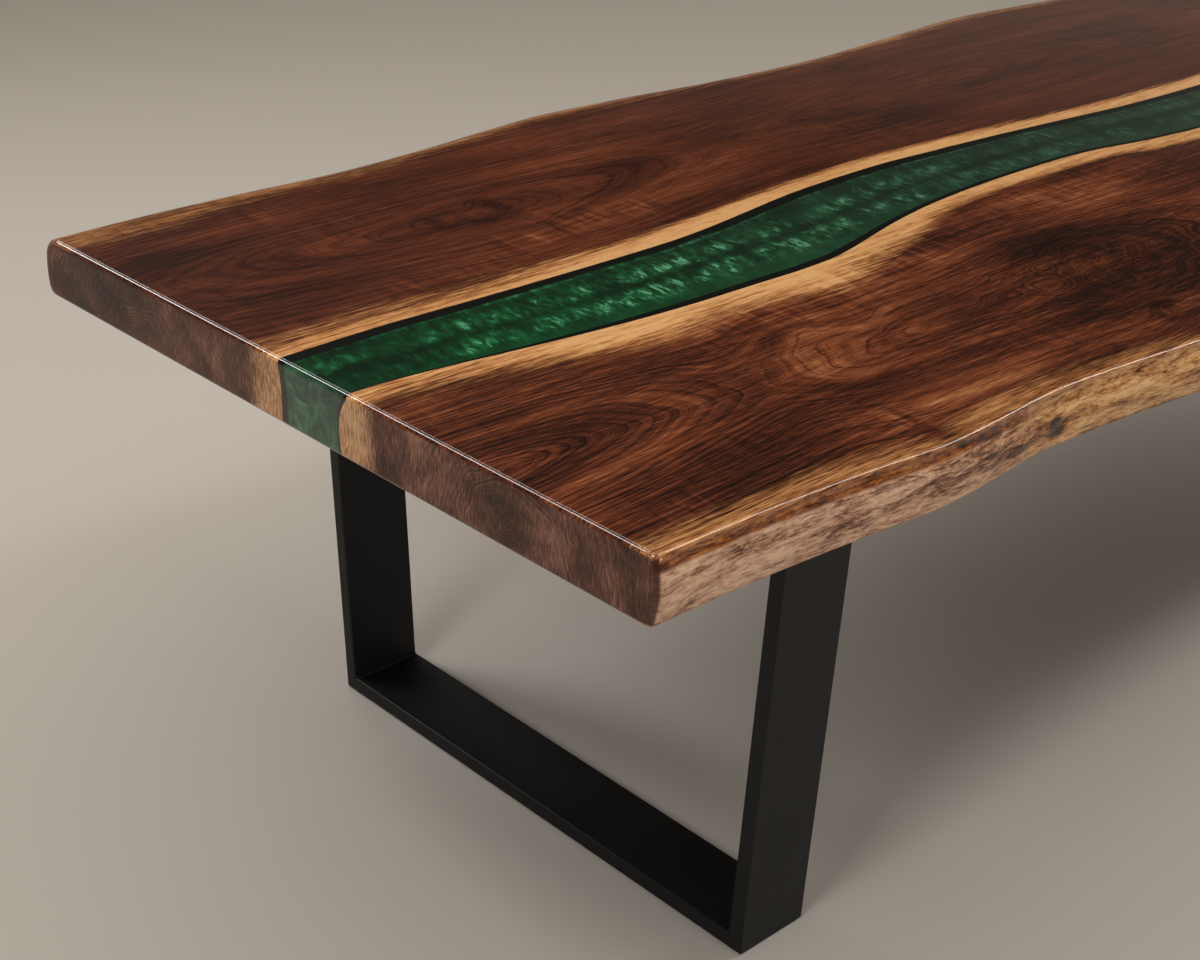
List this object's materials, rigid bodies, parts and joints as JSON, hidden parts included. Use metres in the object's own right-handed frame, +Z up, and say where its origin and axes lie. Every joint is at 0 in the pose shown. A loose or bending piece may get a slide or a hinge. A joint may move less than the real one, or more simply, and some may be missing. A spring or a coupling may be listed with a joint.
{
  "type": "live edge dining table",
  "caption": "Rectangular dining table: live edge walnut slabs on both sides of a poured resin river, on splayed flat-tube steel frames.",
  "frame": {"origin": "on the floor, under the middle of the table's overall outline", "axes": "+X along the table's length, +Y across it towards the wider slab, +Z up"},
  "size_m": [2.8, 1.2472, 0.75],
  "materials": {
    "walnut": "gloss",
    "green_resin": "gloss",
    "black_powder_coat": "matt",
    "zinc_steel": "satin",
    "nylon": "matt"
  },
  "bodies": {
    "root": {"front_slab": "walnut", "rear_slab": "walnut", "river_resin": "green_resin", "channel_bolts": "zinc_steel", "channel_inserts": "zinc_steel", "near_channel": "black_powder_coat", "middle_channel": "black_powder_coat", "far_channel": "black_powder_coat", "near_leg_floor_bar": "black_powder_coat", "near_leg_front_upright": "black_powder_coat", "near_leg_rear_upright": "black_powder_coat", "near_leg_top_rail": "black_powder_coat", "near_leg_welds": "black_powder_coat", "near_leg_bolts": "zinc_steel", "near_leg_washers": "zinc_steel", "near_leg_inserts": "zinc_steel", "near_leg_glides": "nylon", "far_leg_floor_bar": "black_powder_coat", "far_leg_front_upright": "black_powder_coat", "far_leg_rear_upright": "black_powder_coat", "far_leg_top_rail": "black_powder_coat", "far_leg_welds": "black_powder_coat", "far_leg_bolts": "zinc_steel", "far_leg_washers": "zinc_steel", "far_leg_inserts": "zinc_steel", "far_leg_glides": "nylon"}
  },
  "joints": []
}
